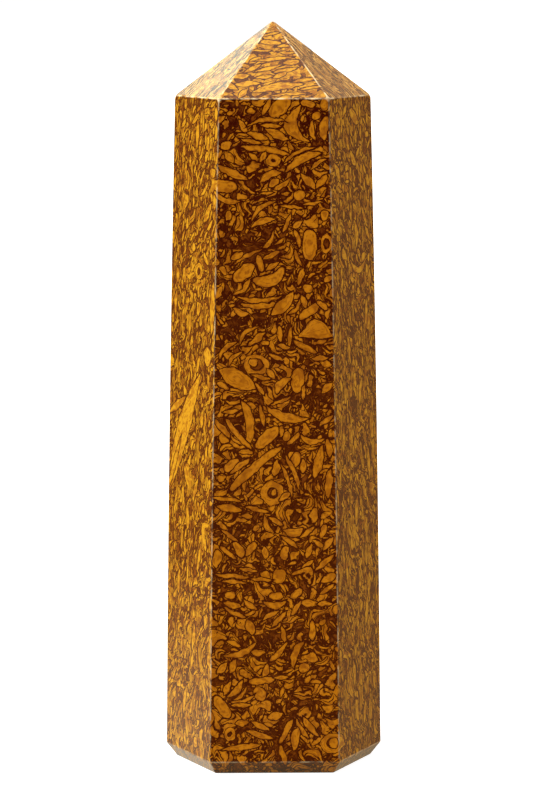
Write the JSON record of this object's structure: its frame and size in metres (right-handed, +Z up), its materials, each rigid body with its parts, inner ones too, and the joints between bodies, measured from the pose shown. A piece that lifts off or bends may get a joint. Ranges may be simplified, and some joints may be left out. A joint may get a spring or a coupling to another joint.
{
  "type": "polished jasper tower",
  "caption": "Polished six-sided jasper tower, its shaft narrowing upwards to a faceted point, with a chamfered foot and a flat base that it stands on.",
  "frame": {"origin": "middle of the flat base face that the tower stands on", "axes": "+Z up along the tower to its point, +X to the right of the wide front face, -Y out of the wide front face"},
  "size_m": [0.0292, 0.0216, 0.0998],
  "materials": {
    "polished_jasper": "high polish, golden brown flakes in a dark red-brown ground"
  },
  "bodies": {
    "root": {"tower": "polished_jasper"}
  },
  "joints": []
}
